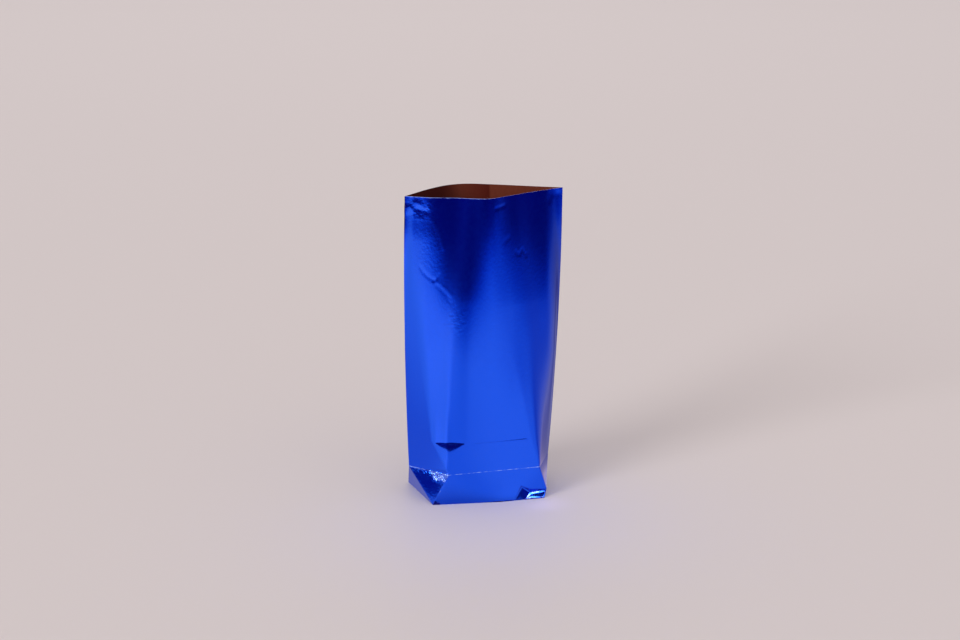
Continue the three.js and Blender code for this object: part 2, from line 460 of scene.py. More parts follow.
def worn_and_highlight_share(u, v, s, front):
    """Rubbed rim, paler crease line and painted highlights on the strip's left fold, crumpled corner and
    curl.
    """
    rim = RIM_WEAR + LEFT_RIM_WEAR * smooth((LEFT_RIM_END - u) / LEFT_RIM_EASE)
    rim = rim * smooth((v - RIM_WEAR_HEIGHT) / RIM_WEAR_EASE)
    along_crease = np.where(s >= 0, CREASE_PALE, np.where(u < LEFT_EDGE, LEFT_CREASE_PALE, 0))
    crease = np.clip(1 - np.abs(v - CREASE_HEIGHT) / CREASE_PALE_REACH, 0, 1) * along_crease
    # painted highlight on the strip's left fold
    at_fold = np.clip(1 - s * BASE_FRONT_LENGTH / LEFT_FOLD_HIGHLIGHT_REACH, 0, 1)
    left_fold = LEFT_FOLD_HIGHLIGHT * at_fold * (s >= 0) * (v < CREASE_HEIGHT)
    # painted glints on the crumpled corner
    crumple = CRUMPLE_GLINTS * front * corner_crumple_share(u, v)
    # painted highlight on the curl
    curl = CURL_HIGHLIGHT * front * curled(s * BASE_FRONT_LENGTH, v)
    return np.max(np.broadcast_arrays(rim, crease, left_fold, crumple, curl), axis=0)


# The left corner is pressed in just below the crease and crumpled there
CORNER_PRESS = 1.4
CORNER_PRESS_HEIGHT = 19.2
CORNER_PRESS_LEAN = 5.7  # makes the deepest place, nearer the front edge, as deep as the press
CORNER_PRESS_ACROSS_POWER = 1.6
CORNER_PRESS_UP_POWER = 2.5
CORNER_CRUMPLE = (0.5, 1.6, 17)  # height, wave length and seed
CORNER_CRUMPLE_START = (10.0, 13.0)  # along the crease and in height
CORNER_CRUMPLE_EASE = (6.0, 3.0)
LEFT_END_CRUMPLES = [(0.55, (6, 19), (7, 2.8))]  # share, middle and reach


def corner_press(u, v):
    over = np.clip(u / LEFT_EDGE, 0, 1)
    across = CORNER_PRESS_LEAN * over ** CORNER_PRESS_ACROSS_POWER * (1 - over)
    above = np.clip((CREASE_HEIGHT - v) / (CREASE_HEIGHT - CORNER_PRESS_HEIGHT), 0, 1)
    below = np.clip(v / CORNER_PRESS_HEIGHT, 0, 1) ** CORNER_PRESS_UP_POWER
    return -CORNER_PRESS * across * np.minimum(above, below)


def over_corner(u, v):
    """Place along the corner triangle, which narrows from the crease down to a point on the floor."""
    return u * np.clip(v / CREASE_HEIGHT, 0, 1)


def corner_crumple_share(u, v):
    along = smooth((over_corner(u, v) - CORNER_CRUMPLE_START[0]) / CORNER_CRUMPLE_EASE[0])
    up = smooth((v - CORNER_CRUMPLE_START[1]) / CORNER_CRUMPLE_EASE[1])
    share = along * up + patches(over_corner(u, v), v, LEFT_END_CRUMPLES)
    return np.clip(share, 0, 1) * (u < LEFT_EDGE) * (v <= CREASE_HEIGHT)


def corner_crumple(u, v):
    height, length, seed = CORNER_CRUMPLE
    return height * corner_crumple_share(u, v) * waves(over_corner(u, v), v, length, seed, True)


# Crushed right corner of the strip: corners on the strip and how far each is pushed in
CRUSH_CORNERS = {
    "left_foot": (50.6, 0.0, 0.0),
    "tuck": (54.9, 2.4, 0.25),
    "roll_foot": (57.3, 0.0, 0.0),
    "peak": (55.7, 8.1, 1.0),
    "deep": (60.7, 4.0, 2.3),
    "curl_top": (61.3, 2.8, 1.5),
    "curl_low": (61.3, 1.2, 0.95),
    "curl_foot": (62.4, 0.0, 0.0),
    "arm_mid": (66.6, 4.4, 1.9),
    "arm_end": (69.8, 4.9, 0.9),
    "arm_low_mid": (66.0, 3.6, 1.2),
    "arm_low_end": (69.8, 4.2, 0.85),
    "hem_mid": (66.0, 0.75, 0.5),
    "hem_end": (69.8, 1.2, 0.4),
    "foot_mid": (67.0, 0.0, 0.0),
    "foot_end": (69.8, 0.0, 0.0),
    "brow_peak": (54.7, 9.2, 0.0),
    "brow_deep": (60.7, 6.4, 0.0),
    "brow_mid": (65.8, 5.9, 0.0),
    "brow_end": (69.8, 5.6, 0.0),
    "nick_top": (-0.1, 2.4, 1.4),
    "nick_left": (-0.1, 0.0, 0.0),
    "nick_right": (3.2, 1.1, 0.6),
    "nick_foot": (3.8, 0.0, 0.0),
}
FOLDED_FACETS = [
    # dark fold at the left
    ("left_foot", "roll_foot", "tuck"), ("left_foot", "tuck", "peak"), ("tuck", "roll_foot", "peak"),
    ("peak", "roll_foot", "deep"), ("left_foot", "peak", "brow_peak"),
    # hollow inside the curl
    ("curl_top", "curl_low", "hem_mid"), ("curl_top", "hem_mid", "arm_low_mid"),
    ("arm_low_mid", "hem_mid", "hem_end"), ("arm_low_mid", "hem_end", "arm_low_end"),
    # brow above
    ("brow_peak", "peak", "deep"), ("brow_peak", "deep", "brow_deep"), ("brow_deep", "deep", "arm_mid"),
    ("brow_deep", "arm_mid", "brow_mid"), ("brow_mid", "arm_mid", "arm_end"),
    ("brow_mid", "arm_end", "brow_end"),
    # nick at the left foot of the strip
    ("nick_top", "nick_left", "nick_foot"), ("nick_top", "nick_foot", "nick_right")]
# Rolled curl with an arm above and a hem below
CURLED_FACETS = [
    ("roll_foot", "curl_foot", "curl_low"), ("roll_foot", "curl_low", "curl_top"),
    ("roll_foot", "curl_top", "deep"), ("deep", "curl_top", "arm_low_mid"),
    ("deep", "arm_low_mid", "arm_mid"),
    ("arm_mid", "arm_low_mid", "arm_low_end"), ("arm_mid", "arm_low_end", "arm_end"),
    ("curl_low", "curl_foot", "hem_mid"), ("curl_foot", "foot_mid", "hem_mid"),
    ("hem_mid", "foot_mid", "foot_end"), ("hem_mid", "foot_end", "hem_end")]
FOOT_FOLD = 0.12  # how far the fold at the foot of the strip stands out
FOOT_FOLD_HEIGHT = 0.8
ROLLED_HEIGHT = 9.0  # below this the crushed corner is rolled round


def facet_depth(s, v, names):
    """Where a facet lies, and how far it is pushed in there."""
    (s0, v0, d0), (s1, v1, d1), (s2, v2, d2) = (CRUSH_CORNERS[name] for name in names)
    area = (s1 - s0) * (v2 - v0) - (s2 - s0) * (v1 - v0)
    share1 = ((s - s0) * (v2 - v0) - (s2 - s0) * (v - v0)) / area
    share2 = ((s1 - s0) * (v - v0) - (s - s0) * (v1 - v0)) / area
    inside = (share1 >= 0) & (share2 >= 0) & (share1 + share2 <= 1)
    return inside, d0 + share1 * (d1 - d0) + share2 * (d2 - d0)


def crush(s, v):
    relief = FOOT_FOLD * np.clip(1 - v / FOOT_FOLD_HEIGHT, 0, 1) * (s >= 0)
    for names in FOLDED_FACETS + CURLED_FACETS:
        inside, depth = facet_depth(s, v, names)
        relief = np.where(inside, -depth, relief)
    return relief


def curled(s, v):
    return np.any([facet_depth(s, v, names)[0] for names in CURLED_FACETS], axis=0)


def front_relief(u, v, s):
    body = front_body_relief(u, v)
    relief = np.where(v >= CREASE_HEIGHT, body, crush(s * BASE_FRONT_LENGTH, v))
    return relief + corner_press(u, v) + corner_crumple(u, v)


# Seam down the back: u runs over the back from the right side fold. The part from the right lies outside
# and ends at the outer edge, the part from the left ends at the inner edge.
SEAM_INNER_EDGE = 45.0
SEAM_OUTER_EDGE = 57.0
SEAM_EASE = 20.0
SEAM_PAINTED_SHADE = (44.5, 67.0)  # between these, painted shade darkens the brown inside, most at the seam's inner edge
LEFT_PAINTED_SHADE = (58.0, 24.0)  # where painted shade starts towards the left side fold, and over which width
BACK_WAVES = (0.25, 50, 23)  # height, length and seed
BACK_CRUMPLES = [(0.12, (30, 150), (26, 36), 16, 29, False), (0.12, (85, 90), (24, 40), 18, 31, False)]
BACK_FINE_SHARE = 0.03
BACK_FINE_CRUMPLES = [(BACK_FINE_SHARE, middle, reach) for _, middle, reach, *_ in BACK_CRUMPLES]


def back_relief(u, v):
    height, length, seed = BACK_WAVES
    relief = height * waves(u, v, length, seed, False) + crumples(u, v, BACK_CRUMPLES)
    lapped = PAPER * np.clip((u - SEAM_INNER_EDGE + SEAM_EASE) / SEAM_EASE, 0, 1) * (u <= SEAM_OUTER_EDGE)
    return relief * smooth((v - CREASE_HEIGHT) / CREASE_STIFFNESS) + lapped


# The sheet

def stub(panel, parts, edge):
    """How far each column of the strip is drawn out to the crushed corner, at the corner's height."""
    if panel is BACK:
        return np.zeros((len(parts), 2))
    over_front = np.clip(1 - (1 - edge) * BASE_FRONT_LENGTH / STUB_REACH, 0, 1)
    over_side = np.clip((1 - parts) / (1 - RIGHT_EDGE / PANEL_WIDTH), 0, 1)
    grown = np.where(edge >= 0, over_front, np.where(parts * PANEL_WIDTH > RIGHT_EDGE, over_side, 0))
    foot, top = np.array(BASE_FRONT_BULGE), np.array(CREASE_FRONT_RIGHT)
    plain = foot + (top - foot) * STUB_HEIGHT / CREASE_HEIGHT
    return grown[:, None] * (np.array(STUB_PLACE) - plain)


def sheet_grid():
    """Points of the whole sheet, rows from the floor to the mouth, columns once round the bag.

    With them come the relief, the share of pale foil (rubbed lacquer and painted highlights), the share of
    fine crumples, the share of painted shade on the brown, the number of paper layers and whether a place
    is rolled round without a sharp edge.
    """
    grids = []
    heights = np.concatenate([STRIP_HEIGHTS, BODY_HEIGHTS])[:, None]
    for panel, middles in ((FRONT, (LEFT_MIDDLE, RIGHT_MIDDLE)), (BACK, (RIGHT_MIDDLE, LEFT_MIDDLE))):
        feet, parts, edge = panel_columns(panel, *middles)
        body = body_points(panel, parts[None, :], BODY_HEIGHTS[:, None])
        floor = np.concatenate([feet, np.zeros((len(feet), 1))], axis=1)
        lift = (STRIP_HEIGHTS / CREASE_HEIGHT)[:, None, None]
        strip = floor + (body[0] - floor) * lift
        drawn = tent(STRIP_HEIGHTS, 0, STUB_HEIGHT, CREASE_HEIGHT)
        strip[..., :2] += drawn[:, None, None] * stub(panel, parts, edge)
        u, s = parts[None, :] * PANEL_WIDTH, edge[None, :]
        if panel is FRONT:
            relief, crumpled = front_relief(u, heights, s), crumpled_share(u, heights)
            layers = 1 + 0 * relief
            # painted shade on the brown inside, near the left side fold
            painted_shade = 1 - smooth(u / LEFT_PAINTED_SHADE[1]) + 0 * relief
            rolled = (heights < ROLLED_HEIGHT) & (s > CRUSH_START) & (s < 1)
        else:
            relief, crumpled = back_relief(u, heights), patches(u, heights, BACK_FINE_CRUMPLES)
            layers = 1 + (u >= SEAM_INNER_EDGE) * (u <= SEAM_OUTER_EDGE) + 0 * relief
            # painted shade on the brown inside, at the seam's inner edge and towards the left side fold
            at_seam = tent(u, SEAM_PAINTED_SHADE[0], SEAM_INNER_EDGE, SEAM_PAINTED_SHADE[1])
            painted_shade = np.maximum(at_seam, smooth((u - LEFT_PAINTED_SHADE[0]) / LEFT_PAINTED_SHADE[1])) + 0 * relief
            rolled = np.zeros(relief.shape, bool)
        worn_and_highlight = worn_and_highlight_share(u, heights, s, panel is FRONT)
        grids.append((np.concatenate([strip, body]), relief, worn_and_highlight, crumpled, painted_shade, layers, rolled))
    return [np.concatenate(pair, axis=1) for pair in zip(*grids)]


def without_repeats(loop):
    return [corner for i, corner in enumerate(loop) if corner != loop[i - 1]]


def point_normals(points, faces):
    corners = np.array([face if len(face) == 4 else face + face[:1] for face in faces])
    one_way = points[corners[:, 2]] - points[corners[:, 0]]
    other_way = points[corners[:, 3]] - points[corners[:, 1]]
    across = np.cross(one_way, other_way)
    normals = np.zeros_like(points)
    for k in range(4):
        np.add.at(normals, corners[:, k], across)
    return normals / np.maximum(np.linalg.norm(normals, axis=1, keepdims=True), NEVER_ZERO)


FOLD_ANGLE = math.radians(24)  # sharper turns than this are pressed folds
HEM = 0.35  # width of the rounded fold under the foot of the walls
SAME_DECIMALS = 5  # points that agree to so many decimals are one


def paper_piece(name, points, groups, materials):
    """A piece of the bag from points in millimetres and one group of faces for each material."""
    mesh = bpy.data.meshes.new(name)
    mesh.from_pydata((points * MM).tolist(), [], sum(groups, []))
    for material in materials:
        mesh.materials.append(material)
    slots = np.repeat(np.arange(len(groups)), [len(group) for group in groups])
    mesh.polygons.foreach_set("material_index", slots)
    mesh.polygons.foreach_set("use_smooth", np.ones(len(slots), bool))
    mesh.update()
    mesh.set_sharp_from_angle(angle=FOLD_ANGLE)
    piece = bpy.data.objects.new(name, mesh)
    bpy.context.scene.collection.objects.link(piece)
    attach(piece, "root")
    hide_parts("bag")
    return piece


def fold_bag(foil, kraft, cut_paper):
    """The one sheet of the bag: foil outside, kraft inside, joined by the cut edge at the mouth."""
    grid, relief, worn_and_highlight, crumpled, painted_shade, layers, rolled = sheet_grid()
    rows, columns = relief.shape
    _, first, welded = np.unique(
        np.round(grid.reshape(-1, 3), SAME_DECIMALS), axis=0, return_index=True, return_inverse=True)
    index = welded.reshape(rows, columns)
    ahead = np.roll(index, -1, axis=1)
    quads = np.stack([index[:-1], ahead[:-1], ahead[1:], index[1:]], axis=-1).reshape(-1, 4)
    faces = [without_repeats(quad) for quad in quads.tolist()]
    faces = [face for face in faces if len(face) > 2]
    outer = grid.reshape(-1, 3)[first]
    outer = outer + point_normals(outer, faces) * relief.reshape(-1)[first][:, None]
    foot = without_repeats(index[0].tolist())
    outer[foot, 2] = 0
    normals = point_normals(outer, faces)
    inner = outer - normals * PAPER * layers.reshape(-1)[first][:, None]
    inner[foot, 2] = BASE_LIFT + PAPER
    under = outer[foot] - normals[foot] * HEM
    under[:, 2] = BASE_LIFT

    count = len(outer)
    rim = without_repeats(index[-1].tolist())
    edge = [[a, b, b + count, a + count] for a, b in zip(rim, rim[1:] + rim[:1])]
    lining = [[corner + count for corner in reversed(face)] for face in faces]
    lining.append([corner + count for corner in foot])
    base = list(range(2 * count, 2 * count + len(foot)))
    hem = [[foot[i - 1], base[i - 1], base[i], foot[i]] for i in range(len(foot))]
    piece = paper_piece(
        "bag_paper", np.concatenate([outer, inner, under]), [faces + hem + [base[::-1]], lining, edge],
        (foil, kraft, cut_paper))

    mesh = piece.data
    none = np.zeros(len(under))
    for name, share in (("worn_and_highlight", worn_and_highlight), ("crumpled", crumpled), ("painted_shade", painted_shade)):
        values = share.reshape(-1)[first]
        values = np.concatenate([values, values, none])
        mesh.attributes.new(name, "FLOAT", "POINT").data.foreach_set("value", values)
    ends = np.zeros(2 * len(mesh.edges), np.int64)
    mesh.edges.foreach_get("vertices", ends)
    round_points = np.concatenate([rolled.reshape(-1)[first], rolled.reshape(-1)[first], none > 0])
    sharp = np.zeros(len(mesh.edges), bool)
    mesh.attributes["sharp_edge"].data.foreach_get("value", sharp)
    sharp = sharp & ~round_points[ends.reshape(-1, 2)].all(axis=1)
    mesh.attributes["sharp_edge"].data.foreach_set("value", sharp)
    return piece


# Folded base: two long flaps glued over each other underneath, two pointed tucks lying on the floor inside
BASE_MIDDLE = (0.0, 0.0)
FLAP_DEPTH = 24.0
FLAP_SLANT = 17.0
FLAP_INSET = 0.5
FRONT_FLAP_HEIGHT = 0.22  # the front flap lies on the back one
BACK_FLAP_HEIGHT = 0.04
TUCK_LENGTH = 19.0
TUCK_INSET = 1.6
TUCK_HEIGHT = BASE_LIFT + 1.6 * PAPER  # a little above the base panel, which is one paper thick


def flat_sheet(outline, low):
    """Points and faces of a flat sheet of paper at a height: under side, upper side, cut edge."""
    count = len(outline)
    points = [(x, y, height) for height in (low, low + PAPER) for x, y in outline]
    under = [list(range(count))[::-1]]
    upper = [list(range(count, 2 * count))]
    before = [count - 1, *range(count - 1)]
    cut = [[a, b, b + count, a + count] for a, b in zip(before, range(count))]
    return np.array(points), [under, upper, cut]


def inset_point(point, distance):
    step = np.array(BASE_MIDDLE) - np.array(point)
    return np.array(point) + step / np.linalg.norm(step) * distance


def fold_base(foil, kraft, cut_paper):
    front = [BASE_FRONT_LEFT, BASE_FRONT_MIDDLE, BASE_FRONT_BULGE, BASE_FRONT_RIGHT]
    back = [BASE_BACK_RIGHT, BASE_BACK_LEFT]
    for name, edge, inward, low in (
            ("base_flap_front", front, 1, FRONT_FLAP_HEIGHT),
            ("base_flap_back", back, -1, BACK_FLAP_HEIGHT)):
        edge = [inset_point(point, FLAP_INSET) for point in edge]
        tip = edge[0][1] + inward * FLAP_DEPTH
        outline = edge + [(edge[-1][0] - inward * FLAP_SLANT, tip), (edge[0][0] + inward * FLAP_SLANT, tip)]
        paper_piece(name, *flat_sheet(outline, low), (foil, kraft, cut_paper))
    for name, ends, inward in (
            ("base_tuck_left", (BASE_BACK_LEFT, BASE_FRONT_LEFT), 1),
            ("base_tuck_right", (BASE_FRONT_RIGHT, BASE_BACK_RIGHT), -1)):
        ends = [inset_point(point, TUCK_INSET) for point in ends]
        tip = (ends[0] + ends[1]) / 2 + np.array((inward * TUCK_LENGTH, 0))
        paper_piece(name, *flat_sheet([*ends, tip], TUCK_HEIGHT), (kraft, kraft, cut_paper))


# Materials

def linear(hex_colour):
    """An sRGB hex value as linear red, green, blue and alpha."""
    shares = [int(hex_colour[i:i + 2], 16) / 255 for i in (1, 3, 5)]
    return [s / 12.92 if s <= 0.04045 else ((s + 0.055) / 1.055) ** 2.4 for s in shares] + [1.0]


def add(tree, kind, settings=None, links=None):
    """A node of a material, with the values of its properties and sockets and what its sockets take."""
    node = tree.nodes.new(kind)
    for name, value in (settings or {}).items():
        if isinstance(name, int) or name in node.inputs:
            node.inputs[name].default_value = value
        else:
            setattr(node, name, value)
    for name, source in (links or {}).items():
        tree.links.new(source, node.inputs[name])
    return node


def set_stops(ramp, stops):
    elements = ramp.color_ramp.elements
    while len(elements) < len(stops):
        elements.new(0.5)
    for element, (position, colour) in zip(elements, stops):
        element.position = position
        element.color = (*colour, 1.0)


# Sockets of a node that mixes colours: how much, from which, to which, and what comes out
SHARE, FROM, TO, MIXED = 0, 6, 7, 2
# Settings of nodes: one that mixes colours, one that multiplies them, one that eases in and out of a range
COLOURS = {"data_type": "RGBA"}
TIMES = {**COLOURS, "blend_type": "MULTIPLY", SHARE: 1.0}
SOFTLY = {"interpolation_type": "SMOOTHSTEP"}


def between(ends):
    """Settings of a node that turns the way between two ends into 0 to 1."""
    return {"From Min": ends[0], "From Max": ends[1]}


def new_material(name):
    material = bpy.data.materials.new(name)
    material.use_nodes = True
    material.node_tree.nodes.clear()
    return material, material.node_tree


FOIL_BLUE = "#1b61ec"
# Pale blue of rubbed lacquer, also used for the painted highlights
WORN_AND_HIGHLIGHT_BLUE = "#8aa6f6"
GRAIN = 0.7 * MM  # unevenness of the paper under the foil, drawn as coarse as it needs to show
GRAIN_HEIGHT = 0.026 * MM
STREAK = 3.0  # the grain is longer along the web of paper
CRUMPLE = 1.6 * MM  # fine facets of handled foil
CRUMPLE_HEIGHT = 0.24 * MM
PALE_BREAK_LENGTH = 2.6 * MM  # length of the breaks in the pale lines, rubbed or painted highlight
PALE_ENDS = (0.95, 1.25)  # pale share and its breaks added up: where the foil starts to pale and where it is fully pale
BLUR = (0.13, 0.19)  # least and most roughness of the mirror
WORN_AND_HIGHLIGHT_METAL = 0.4  # how much of the metal shows where the foil is fully pale, rubbed or painted highlight


def lacquered_foil():
    """Rolled aluminium foil on paper under a clear blue lacquer: a deep blue, slightly blurred mirror.

    The paper's grain makes it sparkle where light meets dark, and handled places break into fine facets.
    The rim shows pale where the lacquer is rubbed, and the crease has a paler broken line.
    Painted highlights pale the strip's left fold, the crumpled corner and the curl of the crushed corner.
    """
    material, tree = new_material("blue_lacquered_aluminium_foil")
    place = add(tree, "ShaderNodeTexCoord").outputs["Object"]
    stretched = add(tree, "ShaderNodeMapping", {"Scale": (1, 1, 1 / STREAK)}, {"Vector": place})
    grain = add(tree, "ShaderNodeTexNoise", {"Scale": 1 / GRAIN, "Detail": 2.0}, {
        "Vector": stretched.outputs[0]})
    fine = add(tree, "ShaderNodeBump", {"Distance": GRAIN_HEIGHT}, {"Height": grain.outputs["Fac"]})
    crumpled = add(tree, "ShaderNodeAttribute", {"attribute_name": "crumpled"})
    facets = add(tree, "ShaderNodeTexVoronoi", {"Scale": 1 / CRUMPLE, "Detail": 1.0}, {"Vector": place})
    height = add(tree, "ShaderNodeMath", {"operation": "MULTIPLY"}, {
        0: facets.outputs["Distance"], 1: crumpled.outputs["Fac"]})
    bump = add(tree, "ShaderNodeBump", {"Distance": CRUMPLE_HEIGHT}, {
        "Height": height.outputs[0], "Normal": fine.outputs["Normal"]})
    # pale share: rubbed lacquer and painted highlights
    worn_and_highlight = add(tree, "ShaderNodeAttribute", {"attribute_name": "worn_and_highlight"})
    pale_breaks = add(tree, "ShaderNodeTexNoise", {"Scale": 1 / PALE_BREAK_LENGTH, "Detail": 3.0}, {"Vector": place})
    pale_sum = add(tree, "ShaderNodeMath", {"operation": "ADD"}, {
        0: pale_breaks.outputs["Fac"], 1: worn_and_highlight.outputs["Fac"]})
    paled = add(tree, "ShaderNodeMapRange", between(PALE_ENDS), {"Value": pale_sum.outputs[0]})
    colour = add(tree, "ShaderNodeMix", {
        **COLOURS, FROM: linear(FOIL_BLUE), TO: linear(WORN_AND_HIGHLIGHT_BLUE)}, {SHARE: paled.outputs["Result"]})
    blur = add(tree, "ShaderNodeMapRange", {"To Min": BLUR[0], "To Max": BLUR[1]}, {
        "Value": pale_breaks.outputs["Fac"]})
    metal = add(tree, "ShaderNodeMapRange", {"To Min": 1.0, "To Max": WORN_AND_HIGHLIGHT_METAL}, {
        "Value": paled.outputs["Result"]})
    shader = add(tree, "ShaderNodeBsdfPrincipled", {
        "Coat Weight": 0.5, "Coat Roughness": 0.1, "Coat IOR": 1.4}, {
        "Base Color": colour.outputs[MIXED], "Metallic": metal.outputs["Result"],
        "Roughness": blur.outputs["Result"], "Normal": bump.outputs["Normal"]})
    add(tree, "ShaderNodeOutputMaterial", links={"Surface": shader.outputs["BSDF"]})
    return material


KRAFT_BROWN = "#713422"
KRAFT_DARK = "#562317"
# Darker, redder brown for the painted shade inside
KRAFT_PAINTED_SHADE = "#4c1107"
FIBRE = 0.35 * MM  # real fibres are finer, but would not show
FIBRE_STRETCH = 6.0
FIBRE_HEIGHT = 0.03 * MM


def kraft_paper():
    """Unbleached brown kraft, pressed and uncoated: dull, with short fibres that lie along the web.

    Painted shade makes it darker and redder along the seam's inner edge and towards the left side fold.
    """
    material, tree = new_material("brown_kraft_paper")
    place = add(tree, "ShaderNodeTexCoord").outputs["Object"]
    stretched = add(tree, "ShaderNodeMapping", {"Scale": (1, 1, 1 / FIBRE_STRETCH)}, {"Vector": place})
    fibres = add(tree, "ShaderNodeTexNoise", {"Scale": 1 / FIBRE, "Detail": 3.0}, {
        "Vector": stretched.outputs[0]})
    colour = add(tree, "ShaderNodeMix", {
        **COLOURS, FROM: linear(KRAFT_DARK), TO: linear(KRAFT_BROWN)}, {SHARE: fibres.outputs["Fac"]})
    # painted shade darkens the brown
    painted_shade = add(tree, "ShaderNodeAttribute", {"attribute_name": "painted_shade"})
    brown = add(tree, "ShaderNodeMix", {**COLOURS, TO: linear(KRAFT_PAINTED_SHADE)}, {
        SHARE: painted_shade.outputs["Fac"], FROM: colour.outputs[MIXED]})
    bump = add(tree, "ShaderNodeBump", {"Distance": FIBRE_HEIGHT}, {"Height": fibres.outputs["Fac"]})
    shader = add(tree, "ShaderNodeBsdfPrincipled", {"Roughness": 0.8, "Specular IOR Level": 0.1}, {
        "Base Color": brown.outputs[MIXED], "Normal": bump.outputs["Normal"]})
    add(tree, "ShaderNodeOutputMaterial", links={"Surface": shader.outputs["BSDF"]})
    return material


CUT_PALE = "#e6e3ee"
CUT_FLECKS = "#bdb6c6"


def cut_edge():
    """Knife-cut edge of the paper: pale and dull, with darker flecks of fibre."""
    material, tree = new_material("knife_cut_paper_edge")
    place = add(tree, "ShaderNodeTexCoord").outputs["Object"]
    flecks = add(tree, "ShaderNodeTexNoise", {"Scale": 1 / FIBRE, "Detail": 2.0}, {"Vector": place})
    colour = add(tree, "ShaderNodeMix", {
        **COLOURS, FROM: linear(CUT_FLECKS), TO: linear(CUT_PALE)}, {SHARE: flecks.outputs["Fac"]})
    shader = add(tree, "ShaderNodeBsdfPrincipled", {"Roughness": 0.6}, {
        "Base Color": colour.outputs[MIXED]})
    add(tree, "ShaderNodeOutputMaterial", links={"Surface": shader.outputs["BSDF"]})
    return material


# Stage: one look for what the foil mirrors, and a plain and pale one for all else

FLOOR_RADIUS = 8.0
FLOOR_CORNERS = 128
FLOOR_COLOUR = "#d3cac9"
WHITE = (1.0, 1.0, 1.0, 1.0)
CAMERA_PLACE = (-0.272, -1.0175, 0.414)
CAMERA_AZIMUTH = -15.0
CAMERA_ELEVATION = 16.1
CAMERA_LENS = 67.3
CAMERA_SENSOR = 36.0

# Lamps: name, place, where it aims, width and height, power, colour, and whether the foil mirrors it
# or it only lights dull things
LAMPS = [
    ("front_softbox", (0.2, -0.84, 1.1), (0, 0, 0), (1.3, 0.6), 16.0, (1.0, 1.0, 1.0), True),
    ("left_softbox", (-0.85, -0.24, 0.64), (0, 0, 0), (0.46, 0.42), 5.5, (1.0, 1.0, 1.0), True),
    ("back_wash", (0.5, 2.6, 2.0), (0.5, 2.6, 0), (2.0, 2.0), 4.0, (1.0, 0.98, 0.98), False),
    ("foil_glow", (0.0, -0.085, 0.1), (0, 0, 0), (0.1, 0.04), 0.014, (0.2, 0.3, 1.0), False),
    ("corner_glow", (0.033, -0.036, 0.012), (0.033, -0.036, 0), (0.02, 0.006), 0.0005, (0.5, 0.45, 1.0),
     False),
]

# The room: pale for all else; for the foil it is dark, from the left to the right, with a backdrop behind
PALE_ROOM = (0.80, 0.765, 0.765, 1.0)
PALE_ROOM_STRENGTH = 0.98
BACKDROP = (0.62, 0.585, 0.585, 1.0)
BACKDROP_EDGE = (-0.05, 0.35)  # over which the dark room turns into it
DARK_ROOM = ((0.0, (0.012, 0.012, 0.26)), (0.22, (0.027, 0.003, 0.134)), (0.5, (0.027, 0.003, 0.134)),
             (0.85, (0.02, 0.006, 0.23)))

# The floor as the foil mirrors it: a pool of light that ends in the dark towards the front
POOL_HEADING = (0.125, -0.992, 0)
POOL_ENDS = (0.15, 0.88)
POOL = ((0.0, (0.64, 0.69, 0.95)), (0.24, (0.64, 0.74, 1.0)), (0.45, (0.15, 0.37, 0.82)),
        (0.667, (0.013, 0.09, 0.59)), (0.92, (0.015, 0.002, 0.135)))
# Tints of the pool, by the bearing in degrees from straight ahead, to the right positive
FLOOR_ROUND_BAG = (
    (-180, (0.72, 0.68, 0.62)), (-165, (0.95, 0.86, 0.7)), (-130, (0.9, 0.78, 0.64)),
    (-95, (0.7, 0.66, 0.74)), (-81, (0.7, 0.64, 0.76)), (-76, (0.82, 0.77, 0.83)), (-71, (1.12, 1.0, 0.95)),
    (-64, (1.17, 1.05, 0.96)), (-58, (1.34, 1.14, 1.03)), (-51, (1.7, 1.3, 1.15)), (-46, (1.65, 1.3, 1.2)),
    (-34, (0.95, 0.95, 0.98)), (-22, (0.72, 0.84, 0.93)), (-11, (0.64, 0.78, 0.88)), (0, (0.7, 0.8, 0.9)),
    (9, (0.95, 0.95, 0.96)), (14, (1.04, 1.0, 1.0)), (25, (1.05, 1.03, 1.02)), (33, (0.8, 0.82, 0.9)),
    (47, (0.75, 0.8, 0.88)), (53, (0.54, 0.62, 0.78)), (60, (0.35, 0.35, 0.58)), (70, (0.62, 0.46, 0.6)),
    (84, (1.45, 0.72, 0.62)), (104, (1.25, 0.75, 0.5)), (110, (0.64, 0.46, 0.43)),
    (117, (0.34, 0.27, 0.33)), (130, (0.46, 0.4, 0.42)), (143, (0.3, 0.24, 0.34)),
    (152, (0.08, 0.06, 0.2)), (180, (0.72, 0.68, 0.62)))
# Oval round the foot, and how far from its middle the tints and the shade at the foot begin and end
FOOT_SHIFT = (0.0074, -0.012, 0)
FOOT_SCALE = (0.74, 1, 0)  # makes a circle of the oval
TINT_ENDS = (0.038, 0.062)
SHADE_ENDS = (0.03, 0.062)
FOOT_SHADE = (0.36, 0.34, 0.5, 1.0)
# Behind the bag at the right the floor is half lost in the dark
LOST_HEADING = (0.707, 0.707, 0)
LOST_ENDS = (0.26, 0.6)
LOST_SHARE = 0.55
LOST_COLOUR = (0.03, 0.012, 0.16, 1.0)

KEY_FROM = (-3.0, -1.6, 1.15)
KEY_STRENGTH = 1.9
KEY_SPREAD = math.radians(26)


